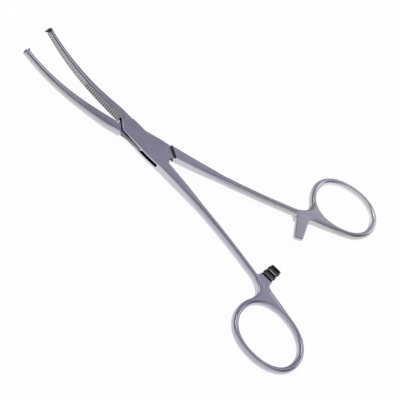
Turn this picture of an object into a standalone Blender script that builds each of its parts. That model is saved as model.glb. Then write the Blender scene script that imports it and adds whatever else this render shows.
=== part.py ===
"""Curved, ratchet-locked, ring-handled haemostatic forceps with a box lock and one-into-two tip teeth.

Each half is one forging: a serrated curved jaw, its part of the box lock, a tapering shank, a ratchet
arm and a finger ring. The mortise half has a slot through its lock, the tenon half passes through that
slot as a thin web, and a pin ground flush with both faces holds them together.

The origin is on the pivot axis at the underside of the lock. +X runs to the finger rings, +Z is up, and
the jaw tips curve up. Every shape is worked out as if the jaws were shut, with the jaw on the +Y side of
the centre plane and the handle on the -Y side. The tenon half is mirrored in Y, and the two halves are
then swung apart about the pin to the rest position.
"""

from math import atan, cos, pi, radians, sin, tan

import bpy
import bmesh

# Driving dimensions in metres, angles in degrees
OPEN_ANGLE = 15.0            # between the centre planes of the two halves at rest
TOE_IN = 0.42                # of each jaw past its half's centre plane, so the jaws are shut at twice this
SHUT_GAP = 0.0001            # between the crests of the two shut jaws at the tip

JAW_LENGTH = 0.0548          # pivot to tip, along X
JAW_RISE = 0.0102            # of the tip's centreline above the lock's
JAW_CURVE = 2.7              # power of the centreline's curve
JAW_ROOT_WIDTH = 0.0040
JAW_TIP_WIDTH = 0.0019
JAW_ROOT_HEIGHT = 0.0047
JAW_TIP_HEIGHT = 0.0029
JAW_BOW = 0.00045            # how far the shut jaws stand apart halfway, so that the tips meet first
JAW_TAPER = 1.3              # power: the jaw narrows soonest near the lock
JAW_NOSE = 0.0004            # length of the rounding at the tip
NOSE_START = 0.3             # share of that length at which the tip has shrunk by NOSE_SHRINK
NOSE_SHRINK = 0.05
NOSE_END_SHRINK = 0.18
BITE_SHARE = 0.88            # of the jaw's height that is flat, serrated bite face
ROOT_POWER = 2.6             # superellipse power of the jaw's back at the lock, where it is squarest
BACK_POWER = 2.1             # and over its rounded length
ROUNDING_SHARE = 0.45        # of the jaw's length over which the one turns into the other
SERRATION_PITCH = 0.0010
SERRATION_DEPTH = 0.00028
SERRATION_START = 0.0115     # pivot to the first serration, along X

TIP_LAND = 0.0014            # length of the plain end that carries the tip teeth
TIP_TOOTH_REACH = 0.00135    # of the single tooth past the centre plane when shut
TIP_PRONG_REACH = 0.0009     # of the two prongs past it
TIP_TOOTH_ROOT = 0.0011      # height of the single tooth at its root
TIP_TOOTH_CREST = 0.0004     # and at its crest
TIP_PRONG_CREST = 0.0003     # height of each prong's crest
TIP_GAP = 0.00012            # around the meshed tip teeth

LOCK_THICKNESS = 0.0048
WEB_THICKNESS = 0.0020
LOCK_GAP = 0.00006           # between the web and each cheek
SHOULDER_GAP = 0.00035       # along X between a shoulder and what it faces when shut
FRONT_SHOULDER = 0.0113      # pivot to where the jaws split, along X
REAR_SHOULDER = 0.0153       # pivot to where the handles split, along X
SHOULDER_SLOPE = 45.0        # of every shoulder and slot end to X
LOCK_CORNER = 0.0037         # half width of the lock at its front corner
LOCK_BACK = 0.0034           # half width beside the jaw's root
LOCK_WAIST = 0.0033          # half width on the jaw's side, from where the cheeks flare
LOCK_WAIST_X = 0.0029        # pivot to there, along X
LOCK_TAIL = 0.0052           # half width at the cheeks' rear corner, over the other handle
LOCK_BELLY = 0.0045          # half width on the handle's side
LOCK_BELLY_X = 0.0068        # pivot to where it is widest there, along X
LOCK_LAP = 0.0005            # how far the lock's block runs past the front shoulder into the jaw
LOCK_EDGE = 0.00025          # bevel of the lock's top and bottom edges
WEB_INSET = 0.0001           # of the web's sides inside the cheeks' outline

PIN_RADIUS = 0.0015
PIN_GAP = 0.00005

SHANK_START_DROP = 0.00217   # of the shank's centreline from the centre plane at the rear shoulder
SHANK_END_DROP = 0.0091
SHANK_END = 0.0680           # pivot to where the shank spreads into the ring, along X
SHANK_BOW = 0.0009
SHANK_START_WIDTH = 0.0042
SHANK_END_WIDTH = 0.0027
SHANK_TAPER = 2.2            # power: the shank narrows soonest near the lock
SHANK_START_HEIGHT = 0.0047
SHANK_END_HEIGHT = 0.0044
SHANK_ROOT_POWER = 4.0       # superellipse power of the shank's section at the lock
SECTION_POWER = 2.3          # and from a third of its length on, as on the ring

RING_CENTRE_X = 0.0887
RING_CENTRE_Y = 0.0244
RING_TILT = 2.4
RING_HOLE_LENGTH = 0.0268
RING_HOLE_WIDTH = 0.0200
RING_POWER = 2.17            # superellipse power of the ring's plan, which is a little squarer than an oval
RING_EGG = 0.048             # share by which the ring narrows at its far end and widens at its near one
RING_BAND = 0.00255          # width of the ring's band in plan
RING_HEIGHT = 0.0044
EDGE_ROUND = 0.0014          # radius that the web between shank and ring keeps at its edges
CROTCH_REACH = 0.0058        # pull of the curve between shank and ring, outside the ring

RATCHET_X = 0.0771           # pivot to the ring side of the arm's tip, along X
RATCHET_PITCH = 0.0026
RATCHET_TEETH = 3
RATCHET_TOOTH_HEIGHT = 0.0007
RATCHET_LEAD = 0.0007        # length of the ramp in front of the first tooth
RATCHET_TIP_WIDTH = 0.0038
RATCHET_ROOT_WIDTH = 0.0058
RATCHET_LEAN = 0.07          # of the arm's ring side, as X over Y
RATCHET_SLANT = 0.30         # of its end, as Y over X: it is longest on the jaw's side
RATCHET_FILLET = 0.0019      # of its ring side where it leaves the shank
RATCHET_JAW_FILLET = 0.0010  # and of its jaw side
RATCHET_REACH = 0.0007       # of its ring side past the other arm's tip plane when the jaws are shut
RATCHET_GAP = 0.00012
RATCHET_INSET = 0.0002       # of the arm's outer face inside the ring's
RATCHET_EDGE = 0.0002        # bevel of the arm's outer edges

BACK_POINTS = 11
SHANK_STATIONS = 12
SPREAD_STATIONS = 7
RING_STATIONS = 48
PROFILE_STEPS = 4
FILLET_POINTS = 6
PIN_SIDES = 48
SPREAD_PULL = 0.7                # of the ring on the end of the spread's middle line, as a share of its reach

MIDDLE = LOCK_THICKNESS / 2
CLEAR = 0.002                # how far cutters and joined shapes run past a face
SHARP_ANGLE = 35             # edges sharper than this are not smoothed


def lerp(a, b, t):
    return a + (b - a) * t


def mesh_of(vertices, faces):
    """A closed bmesh with its faces turned outwards."""
    mesh = bmesh.new()
    points = [mesh.verts.new(v) for v in vertices]
    for face in faces:
        mesh.faces.new([points[i] for i in face])
    bmesh.ops.remove_doubles(mesh, verts=mesh.verts, dist=1e-6)
    bmesh.ops.recalc_face_normals(mesh, faces=mesh.faces)
    if mesh.calc_volume(signed=True) < 0:
        bmesh.ops.reverse_faces(mesh, faces=mesh.faces)
    return mesh


def loft(sections):
    """The closed solid through sections of equally many points, flat at both ends."""
    size = len(sections[0])
    vertices = [v for section in sections for v in section]
    faces = [tuple(range(size)), tuple(range(len(vertices) - size, len(vertices)))]
    for row in range(len(sections) - 1):
        a, b = row * size, (row + 1) * size
        faces += [(a + i, a + (i + 1) % size, b + (i + 1) % size, b + i) for i in range(size)]
    return mesh_of(vertices, faces)


def prism(outline, low, high, bevel=0.0):
    """The closed solid over a plan outline between two heights, with its top and bottom edges bevelled."""
    mesh = loft([[(x, y, z) for x, y in outline] for z in (low, high)])
    if bevel:
        rims = [e for e in mesh.edges if abs(e.verts[0].co.z - e.verts[1].co.z) < 1e-9]
        bmesh.ops.bevel(mesh, geom=rims, offset=bevel, segments=1, affect="EDGES")
    return mesh


def bezier(p0, p1, p2, p3, t):
    a, b, c, d = (1 - t) ** 3, 3 * t * (1 - t) ** 2, 3 * t * t * (1 - t), t ** 3
    return tuple(a * i + b * j + c * k + d * m for i, j, k, m in zip(p0, p1, p2, p3))


# ---- Jaw: D-shaped sections carried along the rising centreline ----


def jaw_frame(x):
    """(share of the way to the tip, centre height, slope angle) of the jaw at a distance x from the pivot."""
    share = (x - FRONT_SHOULDER) / (JAW_LENGTH - FRONT_SHOULDER)
    rise = JAW_RISE * max(share, 0.0) ** JAW_CURVE
    steep = JAW_RISE * JAW_CURVE * max(share, 0.0) ** (JAW_CURVE - 1) / (JAW_LENGTH - FRONT_SHOULDER)
    return share, MIDDLE + rise, atan(steep)


def bite_face(x):
    """Distance of the bite face's crests from the plane in which the shut jaws meet."""
    share = min(max((x - SERRATION_START) / (JAW_LENGTH - SERRATION_START), 0.0), 1.0)
    return SHUT_GAP / 2 + JAW_BOW / 2 * 4 * share * (1 - share)


def toed_in(x, y):
    """Turns a point of the shut jaw about the pivot to its place on its own half."""
    c, s = cos(radians(TOE_IN)), sin(radians(TOE_IN))
    return x * c - y * s, x * s + y * c


def jaw_section(x, depth, nose=0.0):
    """The points round one section of the jaw, with its bite face cut back by `depth`.

    `nose` shrinks the section towards its bite face, for the rounded tip."""
    share, height, slope = jaw_frame(x)
    share = max(share, 0.0)
    width = lerp(JAW_TIP_WIDTH, JAW_ROOT_WIDTH, (1 - share) ** JAW_TAPER) * (1 - nose)
    half = lerp(JAW_ROOT_HEIGHT, JAW_TIP_HEIGHT, share) / 2 * (1 - nose)
    power = lerp(ROOT_POWER, BACK_POWER, min(share / ROUNDING_SHARE, 1.0))
    face = bite_face(x)
    edge = SERRATION_DEPTH + width * (1 - BITE_SHARE) / 2
    points = [(face + depth, -half * BITE_SHARE), (face + depth, half * BITE_SHARE)]
    for i in range(BACK_POINTS):
        turn = pi / 2 - pi * i / (BACK_POINTS - 1)
        out = max(cos(turn), 0.0) ** (2 / power)
        rise = abs(sin(turn)) ** (2 / power) * (1 if turn > 0 else -1)
        points.append((face + lerp(edge, width, out), half * rise))
    return [(*toed_in(-x + z * sin(slope), y), height + z * cos(slope)) for y, z in points]


def jaw_mesh(phase):
    """The jaw's loft, from inside the lock to the tip. `phase` 0 or 1 sets crests against valleys."""
    step = SERRATION_PITCH / 2
    land = JAW_LENGTH - TIP_LAND
    sections = [jaw_section(FRONT_SHOULDER - LOCK_CORNER, 0.0), jaw_section(SERRATION_START - step, 0.0)]
    for i in range(int((land - SERRATION_START) / step)):
        depth = SERRATION_DEPTH if (i + phase) % 2 else 0.0
        sections.append(jaw_section(SERRATION_START + i * step, depth))
    sections += [
        jaw_section(land, 0.0),
        jaw_section(JAW_LENGTH - JAW_NOSE, 0.0),
        jaw_section(JAW_LENGTH - JAW_NOSE * NOSE_START, 0.0, NOSE_SHRINK),
        jaw_section(JAW_LENGTH, 0.0, NOSE_END_SHRINK),
    ]
    return loft(sections)


def tip_block(inner, outer, past=0.0):
    """A solid across the jaw's plain end, between two outlines of (Y, height on the jaw).

    `inner` is where the serrations end, `outer` at the tip, and the block runs `past` both of them."""
    _, height, slope = jaw_frame(JAW_LENGTH)
    sections = []
    for along, outline in ((-TIP_LAND - past, inner), (past, outer)):
        section = []
        for y, z in outline:
            plan = toed_in(-JAW_LENGTH - along * cos(slope) + z * sin(slope), y)
            section.append((*plan, height + along * sin(slope) + z * cos(slope)))
        sections.append(section)
    return loft(sections)


# ---- Handle: shank, spread and ring as one flat planform, domed from its edges ----


def shank_share(x):
    return (x - REAR_SHOULDER) / (SHANK_END - REAR_SHOULDER)


def shank_centre(x):
    """Distance of the shank's centreline from the centre plane."""
    t = shank_share(x)
    return lerp(SHANK_START_DROP, SHANK_END_DROP, t) - SHANK_BOW * 4 * t * (1 - t)


def shank_width(x):
    return lerp(SHANK_END_WIDTH, SHANK_START_WIDTH, (1 - shank_share(x)) ** SHANK_TAPER)


def shank_power(x):
    return lerp(SHANK_ROOT_POWER, SECTION_POWER, min(max(3 * shank_share(x), 0.0), 1.0))


def ring_point(turn, out):
    """A point on the ring at `turn` degrees, `out` beyond the hole's edge."""
    c, s = cos(radians(turn)), sin(radians(turn))
    radius = (abs(c) ** RING_POWER + abs(s) ** RING_POWER) ** (-1 / RING_POWER)
    along = (RING_HOLE_LENGTH / 2 + out) * radius * c
    across = (RING_HOLE_WIDTH / 2 + out) * radius * s * (1 - RING_EGG * c)
    c, s = cos(radians(RING_TILT)), sin(radians(RING_TILT))
    return RING_CENTRE_X + along * c + across * s, -RING_CENTRE_Y - along * s + across * c


def ring_heading(turn):
    """Unit vector along the ring's outer edge at `turn`, in the direction of falling turn."""
    ahead, behind = ring_point(turn - 0.5, RING_BAND), ring_point(turn + 0.5, RING_BAND)
    dx, dy = ahead[0] - behind[0], ahead[1] - behind[1]
    size = (dx * dx + dy * dy) ** 0.5
    return dx / size, dy / size


RING_STEP = 360 / RING_STATIONS
SPREAD_SPLIT = 0.45              # share of the inner curve that faces the spread, the rest faces the ring
INNER_JOIN = 10 * RING_STEP       # where the shank's inner edge runs into the ring
SPREAD_TURN = 17 * RING_STEP     # where the shank's middle meets the ring's
OUTER_JOIN = 21 * RING_STEP      # where the crotch outside the ring ends


def handle_rows():
    """(edge point, middle point, half height, section power) round the whole outer edge of the handle."""
    heading = (shank_centre(SHANK_END) - shank_centre(SHANK_END - 0.001)) / 0.001
    shank_end = (SHANK_END, -SHANK_END_DROP)
    spread_end = ring_point(SPREAD_TURN, RING_BAND / 2)

    def shank_row(x, side):
        y = -shank_centre(x)
        half = lerp(SHANK_START_HEIGHT, SHANK_END_HEIGHT, shank_share(x)) / 2
        return (x, y + side * shank_width(x) / 2), (x, y), half, shank_power(x)

    def ring_row(edge, turn):
        return edge, ring_point(turn, RING_BAND / 2), RING_HEIGHT / 2, SECTION_POWER

    def spread_row(edge, t):
        reach = (spread_end[0] - shank_end[0]) / 3
        middle = bezier(shank_end, (shank_end[0] + reach, shank_end[1] - heading * reach),
                        (spread_end[0] - reach, spread_end[1] + reach * SPREAD_PULL), spread_end, t)
        return edge, middle, lerp(SHANK_END_HEIGHT, RING_HEIGHT, t) / 2, SECTION_POWER

    xs = [lerp(REAR_SHOULDER - 2 * CLEAR, SHANK_END, i / SHANK_STATIONS) for i in range(SHANK_STATIONS)]
    rows = [shank_row(x, 1) for x in xs]

    # The inner edge is one long curve from the shank to the far side of the ring's crown.
    first = (SHANK_END, -SHANK_END_DROP + SHANK_END_WIDTH / 2)
    last, way = ring_point(INNER_JOIN, RING_BAND), ring_heading(INNER_JOIN)
    reach = (last[0] - first[0]) / 3
    inner = [first, (first[0] + reach, first[1] - heading * reach),
             (last[0] - reach * way[0], last[1] - reach * way[1]), last]
    for i in range(SPREAD_STATIONS):
        t = i / SPREAD_STATIONS
        rows.append(spread_row(bezier(*inner, t * SPREAD_SPLIT), t))
    steps = round((SPREAD_TURN - INNER_JOIN) / RING_STEP)
    for i in range(steps):
        edge = bezier(*inner, lerp(SPREAD_SPLIT, 1.0, i / steps))
        rows.append(ring_row(edge, SPREAD_TURN - i * RING_STEP))

    for i in range(round((INNER_JOIN + 360 - OUTER_JOIN) / RING_STEP)):
        turn = INNER_JOIN - i * RING_STEP
        rows.append(ring_row(ring_point(turn, RING_BAND), turn))

    # The crotch outside the ring leads back to the shank's outer edge.
    first, way = ring_point(OUTER_JOIN, RING_BAND), ring_heading(OUTER_JOIN)
    last = (SHANK_END, -SHANK_END_DROP - SHANK_END_WIDTH / 2)
    crotch = [first, (first[0] + way[0] * CROTCH_REACH, first[1] + way[1] * CROTCH_REACH),
              (last[0] + CROTCH_REACH, last[1] - heading * CROTCH_REACH), last]
    steps = round((OUTER_JOIN - SPREAD_TURN) / RING_STEP)
    for i in range(steps):
        rows.append(ring_row(bezier(*crotch, 0.5 * i / steps), OUTER_JOIN - i * RING_STEP))
    for i in range(SPREAD_STATIONS):
        t = i / SPREAD_STATIONS
        rows.append(spread_row(bezier(*crotch, lerp(0.5, 1.0, t)), 1 - t))
    rows.append(shank_row(SHANK_END, -1))
    rows += [shank_row(x, -1) for x in reversed(xs)]
    return rows


def hole_rows():
    turns = [i * RING_STEP for i in range(RING_STATIONS)]
    return [(ring_point(t, 0.0), ring_point(t, RING_BAND / 2), RING_HEIGHT / 2, SECTION_POWER) for t in turns]


def dome(rows, closed, first_index):
    """Vertices and faces of a band that rises from its edge points to its middle points, above and below.

    Across the band the height follows a superellipse, whose power grows with the band's width, so that a
    narrow band is oval and a wide one is flat with rounded edges."""
    vertices, faces = [], []
    for edge, middle, half, power in rows:
        span = ((edge[0] - middle[0]) ** 2 + (edge[1] - middle[1]) ** 2) ** 0.5
        power *= max(1.0, span / EDGE_ROUND) if power < SHANK_ROOT_POWER else 1.0
        for level in range(-PROFILE_STEPS, PROFILE_STEPS + 1):
            turn = pi / 2 * abs(level) / PROFILE_STEPS
            inwards = 1 - max(cos(turn), 0.0) ** (2 / power) if abs(level) < PROFILE_STEPS else 1.0
            rise = half * sin(turn) ** (2 / power) * (1 if level > 0 else -1)
            x, y = (lerp(edge[i], middle[i], inwards) for i in (0, 1))
            vertices.append((x, y, MIDDLE + rise))
    size = 2 * PROFILE_STEPS + 1
    count = len(rows)
    for i in range(count if closed else count - 1):
        a, b = first_index + i * size, first_index + (i + 1) % count * size
        faces += [(a + k, a + k + 1, b + k + 1, b + k) for k in range(size - 1)]
    return vertices, faces


def handle_mesh():
    """Shank, spread and ring as one closed surface."""
    outer, faces = dome(handle_rows(), False, 0)
    hole, hole_faces = dome(hole_rows(), True, len(outer))
    size = 2 * PROFILE_STEPS + 1
    cap = tuple(range(size)) + tuple(range(len(outer) - 2, len(outer) - size, -1))
    return mesh_of(outer + hole, faces + hole_faces + [cap])


# ---- Box lock ----


def along_shoulder(x, y, lean):
    """The point at height y on a shoulder that crosses the centre plane at x. `lean` +1 leans to +X."""
    return x + lean * abs(y) / tan(radians(SHOULDER_SLOPE)), y


def lock_outline(inset):
    """Plan of one half's lock, with its free edges moved in by `inset`."""
    joint = REAR_SHOULDER - SHOULDER_GAP
    outer = -shank_centre(joint) - shank_width(joint) / 2
    return [
        (-FRONT_SHOULDER - LOCK_LAP, SHUT_GAP / 2),
        (-FRONT_SHOULDER, SHUT_GAP / 2),
        along_shoulder(-FRONT_SHOULDER, -LOCK_CORNER + inset, 1),
        (LOCK_BELLY_X, -LOCK_BELLY + inset),
        (joint, outer + inset),
        (REAR_SHOULDER, -SHUT_GAP / 2),
        along_shoulder(REAR_SHOULDER, LOCK_TAIL - inset, -1),
        (LOCK_WAIST_X, LOCK_WAIST - inset),
        (-FRONT_SHOULDER - LOCK_LAP, LOCK_BACK - inset),
    ]


def lock_pocket():
    """Plan of the space between this half's shoulders, open to both sides."""
    front, rear = -FRONT_SHOULDER - SHOULDER_GAP, REAR_SHOULDER + SHOULDER_GAP
    far = 2 * LOCK_TAIL
    return [(front, 0.0), along_shoulder(front, far, 1), (rear, far), (rear, 0.0),
            along_shoulder(rear, -far, -1), (front, -far)]


def disc(radius):
    turns = [2 * pi * i / PIN_SIDES for i in range(PIN_SIDES)]
    return [(radius * cos(turn), radius * sin(turn)) for turn in turns]


# ---- Ratchet arm ----


def arm_levels():
    """Heights of the lower arm's outer face, its valleys, its crests and the top of its root."""
    half = RING_HEIGHT / 2 - RATCHET_INSET
    pitch_line = MIDDLE - RATCHET_GAP
    valley, crest = pitch_line - RATCHET_TOOTH_HEIGHT / 2, pitch_line + RATCHET_TOOTH_HEIGHT / 2
    return MIDDLE - half, valley, crest, MIDDLE + half


def arm_plane():
    """Y of the plane in which the arms of the shut instrument meet, in this half's own frame."""
    return RATCHET_X * tan(radians(TOE_IN))


def root_fillet(x, y, side, radius):
    """Points of the arc that leads from the arm's side at x into the shank's edge at y."""
    points = []
    for i in range(FILLET_POINTS):
        turn = pi / 2 * i / (FILLET_POINTS - 1)
        points.append((x + side * radius * (1 - cos(turn)), y + radius * (1 - sin(turn))))
    return points


def arm_mesh():
    """The lower arm at full height: a tapering bar across the centre plane, filleted into the shank."""
    tip = arm_plane() + RATCHET_REACH
    root = -shank_centre(RATCHET_X)
    right = RATCHET_X - RATCHET_LEAN * (tip - root)
    left = right - RATCHET_ROOT_WIDTH
    outline = [(RATCHET_X - RATCHET_TIP_WIDTH, tip + RATCHET_SLANT * RATCHET_TIP_WIDTH), (RATCHET_X, tip)]
    outline += root_fillet(right, root + SHANK_END_WIDTH / 2, 1, RATCHET_FILLET)
    outline += [(right + RATCHET_FILLET, root), (left - RATCHET_JAW_FILLET, -SHANK_END_DROP)]
    outline += reversed(root_fillet(left, -SHANK_END_DROP + SHANK_END_WIDTH / 2, -1, RATCHET_JAW_FILLET))
    base, _, _, top = arm_levels()
    return prism(outline, base, top, RATCHET_EDGE)


def arm_comb():
    """What is cut from the lower arm: all above the ratchet teeth and the spaces between them."""
    _, valley, crest, top = arm_levels()
    above = top + CLEAR
    steep = arm_plane() + RATCHET_GAP / 2
    end = arm_plane() + RATCHET_REACH + RATCHET_SLANT * RATCHET_TIP_WIDTH + CLEAR
    profile = [(end, above), (end, valley), (steep + RATCHET_LEAD, valley)]
    for i in range(RATCHET_TEETH):
        profile += [(steep - i * RATCHET_PITCH, crest), (steep - i * RATCHET_PITCH, valley)]
    last = steep - RATCHET_TEETH * RATCHET_PITCH
    profile += [(last, crest), (last, above)]
    ends = (RATCHET_X - RATCHET_ROOT_WIDTH - RATCHET_FILLET, RATCHET_X + RATCHET_FILLET)
    return loft([[(x, y, z) for y, z in profile] for x in ends])


# ---- Tip teeth ----


def tooth_side(y):
    """Half height of the single tooth at y, where the mortise half's jaw is on the +Y side."""
    bed = TIP_PRONG_REACH + TIP_GAP
    return lerp(TIP_TOOTH_CREST, TIP_TOOTH_ROOT, (y + TIP_TOOTH_REACH) / (bed + TIP_TOOTH_REACH)) / 2


def tooth_mesh():
    """The single tooth, a fin that rises towards the tip."""
    bed = TIP_PRONG_REACH + 2 * TIP_GAP
    sections = []
    for crest in (TIP_PRONG_REACH, -TIP_TOOTH_REACH):
        sections.append([(crest, -tooth_side(crest)), (crest, tooth_side(crest)),
                         (bed, tooth_side(bed)), (bed, -tooth_side(bed))])
    return tip_block(*sections, past=-JAW_NOSE / 4)


def ledge_cutter():
    """What is cut from the mortise half's tip to make room for the prongs."""
    deep = TIP_PRONG_REACH + TIP_GAP
    high = JAW_TIP_HEIGHT
    outline = [(-CLEAR, -high), (-CLEAR, high), (deep, high), (deep, -high)]
    return tip_block(outline, outline, past=TIP_GAP)


def prong_mesh():
    """The block that the two prongs are cut from."""
    bed = SERRATION_DEPTH + TIP_GAP
    inside = tooth_side(TIP_PRONG_REACH) + TIP_GAP + TIP_PRONG_CREST
    root = JAW_TIP_HEIGHT / 2 * BITE_SHARE
    sections = []
    for crest in (SERRATION_DEPTH, -TIP_PRONG_REACH):
        share = (bed - crest) / (bed + TIP_PRONG_REACH)
        half = lerp(root, inside, share)
        sections.append([(crest, -half), (crest, half), (bed, root), (bed, -root)])
    return tip_block(*sections, past=-JAW_NOSE / 4)


def notch_cutter():
    """The single tooth's space in the tenon half, which is mirrored: here y is measured the other way."""
    deep, shallow = TIP_TOOTH_REACH + TIP_GAP, -CLEAR
    outline = [(deep, -tooth_side(-deep) - TIP_GAP), (deep, tooth_side(-deep) + TIP_GAP),
               (shallow, tooth_side(-shallow) + TIP_GAP), (shallow, -tooth_side(-shallow) - TIP_GAP)]
    return tip_block(outline, outline, past=TIP_GAP)


# ---- Assembly ----


def steel(name, colour, roughness):
    material = bpy.data.materials.new(name)
    material.use_nodes = True
    shader = material.node_tree.nodes["Principled BSDF"]
    shader.inputs["Base Color"].default_value = (*colour, 1.0)
    shader.inputs["Metallic"].default_value = 1.0
    shader.inputs["Roughness"].default_value = roughness
    return material


def object_of(name, mesh, material):
    data = bpy.data.meshes.new(name)
    mesh.to_mesh(data)
    mesh.free()
    data.materials.append(material)
    data.shade_smooth()
    data.set_sharp_from_angle(angle=radians(SHARP_ANGLE))
    obj = bpy.data.objects.new(name, data)
    bpy.context.scene.collection.objects.link(obj)
    return obj


def mirrored(mesh, across_y, across_middle=False):
    """The mesh mirrored in Y, and in Z about the middle of the instrument's thickness."""
    for vertex in mesh.verts:
        if across_y:
            vertex.co.y = -vertex.co.y
        if across_middle:
            vertex.co.z = LOCK_THICKNESS - vertex.co.z
    if across_y != across_middle:
        bmesh.ops.reverse_faces(mesh, faces=mesh.faces)
    return mesh


def combine(obj, operation, name, mesh):
    """Joins a mesh to obj or cuts it away, by a Boolean with a hidden helper that moves with obj."""
    helper = object_of(f"{obj.name}.{name}", mesh, obj.data.materials[0])
    helper.parent = obj
    helper.hide_render = True
    helper.display_type = "WIRE"
    modifier = obj.modifiers.new(name, "BOOLEAN")
    modifier.operation = operation
    modifier.solver = "EXACT"
    modifier.object = helper


def make_half(name, material, tenon):
    """One forging. The tenon half is the mirror image of the mortise half, with its arm above."""
    obj = object_of(name, mirrored(jaw_mesh(1 if tenon else 0), tenon), material)
    outline = lock_outline(WEB_INSET if tenon else 0.0)
    combine(obj, "UNION", "lock", mirrored(prism(outline, 0.0, LOCK_THICKNESS, LOCK_EDGE), tenon))
    combine(obj, "UNION", "handle", mirrored(handle_mesh(), tenon))
    combine(obj, "UNION", "arm", mirrored(arm_mesh(), tenon, tenon))
    combine(obj, "DIFFERENCE", "comb", mirrored(arm_comb(), tenon, tenon))

    low, high = MIDDLE - WEB_THICKNESS / 2, MIDDLE + WEB_THICKNESS / 2
    if tenon:
        combine(obj, "DIFFERENCE", "lower_recess", mirrored(prism(lock_pocket(), -CLEAR, low), True))
        combine(obj, "DIFFERENCE", "upper_recess",
                mirrored(prism(lock_pocket(), high, LOCK_THICKNESS + CLEAR), True))
        combine(obj, "UNION", "prongs", mirrored(prong_mesh(), True))
        combine(obj, "DIFFERENCE", "notch", mirrored(notch_cutter(), True))
    else:
        combine(obj, "DIFFERENCE", "slot", prism(lock_pocket(), low - LOCK_GAP, high + LOCK_GAP))
        combine(obj, "DIFFERENCE", "ledge", ledge_cutter())
        combine(obj, "UNION", "tooth", tooth_mesh())
    bore = prism(disc(PIN_RADIUS + PIN_GAP), -CLEAR, LOCK_THICKNESS + CLEAR)
    combine(obj, "DIFFERENCE", "bore", bore)
    obj.rotation_euler.z = radians(OPEN_ANGLE / 2) * (1 if tenon else -1)
    return obj


for old in list(bpy.data.objects):
    bpy.data.objects.remove(old)

make_half("mortise_half", steel("mortise_steel", (0.42, 0.41, 0.45), 0.32), tenon=False)
make_half("tenon_half", steel("tenon_steel", (0.42, 0.41, 0.45), 0.32), tenon=True)
pin = prism(disc(PIN_RADIUS), 0.0, LOCK_THICKNESS)
object_of("lock_pin", pin, steel("pin_steel", (0.46, 0.45, 0.49), 0.28))
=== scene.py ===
"""Looks of a curved, ring-handled, ratchet-locked haemostatic forceps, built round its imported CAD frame."""

import bmesh
import bpy
import numpy as np
from mathutils import Matrix, Vector


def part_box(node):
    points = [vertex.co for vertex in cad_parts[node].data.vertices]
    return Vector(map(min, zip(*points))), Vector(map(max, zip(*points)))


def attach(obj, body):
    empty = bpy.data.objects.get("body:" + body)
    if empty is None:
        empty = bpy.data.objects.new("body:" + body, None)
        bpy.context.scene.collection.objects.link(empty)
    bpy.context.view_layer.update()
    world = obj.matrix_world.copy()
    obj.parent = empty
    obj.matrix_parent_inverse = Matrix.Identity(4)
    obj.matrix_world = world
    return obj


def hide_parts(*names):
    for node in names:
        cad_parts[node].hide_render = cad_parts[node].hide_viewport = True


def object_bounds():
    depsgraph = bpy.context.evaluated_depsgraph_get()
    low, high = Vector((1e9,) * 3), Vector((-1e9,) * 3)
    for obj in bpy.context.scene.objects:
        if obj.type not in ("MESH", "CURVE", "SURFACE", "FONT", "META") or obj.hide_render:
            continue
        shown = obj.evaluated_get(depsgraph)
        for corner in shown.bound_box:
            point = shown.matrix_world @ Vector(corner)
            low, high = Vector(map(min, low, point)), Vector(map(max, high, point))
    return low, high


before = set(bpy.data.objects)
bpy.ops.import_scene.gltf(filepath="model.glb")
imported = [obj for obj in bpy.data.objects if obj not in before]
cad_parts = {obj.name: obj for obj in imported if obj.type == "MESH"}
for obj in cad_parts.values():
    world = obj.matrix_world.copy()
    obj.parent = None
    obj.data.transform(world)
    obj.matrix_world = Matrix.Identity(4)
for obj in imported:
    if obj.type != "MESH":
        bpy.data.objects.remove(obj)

cad_box = [list(corner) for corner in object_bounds()]

# ---- Stage: camera, floor and light ----
# The instrument lies open on a plain pale sheet under soft light. A large bright area low in front of it
# shows in every side that faces the camera, and the room behind it is darker.

MM = 0.001
AIM = Vector((33.445, -5.444, 2.4)) * MM
DISTANCE = 355.35 * MM
AZIMUTH, ELEVATION, ROLL = np.radians((-4.483, 55.433, 41.57))
LENS = 80.86

back = Vector((np.sin(AZIMUTH) * np.cos(ELEVATION), -np.cos(AZIMUTH) * np.cos(ELEVATION), np.sin(ELEVATION)))
across = Vector((np.cos(AZIMUTH), np.sin(AZIMUTH), 0))
upright = back.cross(across)
right = across * np.cos(ROLL) + upright * np.sin(ROLL)
up = upright * np.cos(ROLL) - across * np.sin(ROLL)
camera = bpy.data.objects.new("camera", bpy.data.cameras.new("camera"))
camera.data.lens = LENS
camera.data.sensor_width = 36
camera.data.clip_start = 0.01
camera.matrix_world = Matrix((
    (right.x, up.x, back.x, AIM.x + back.x * DISTANCE),
    (right.y, up.y, back.y, AIM.y + back.y * DISTANCE),
    (right.z, up.z, back.z, AIM.z + back.z * DISTANCE),
    (0, 0, 0, 1),
))
bpy.context.scene.collection.objects.link(camera)
bpy.context.scene.camera = camera
bpy.context.scene.view_settings.view_transform = "Standard"


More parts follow.
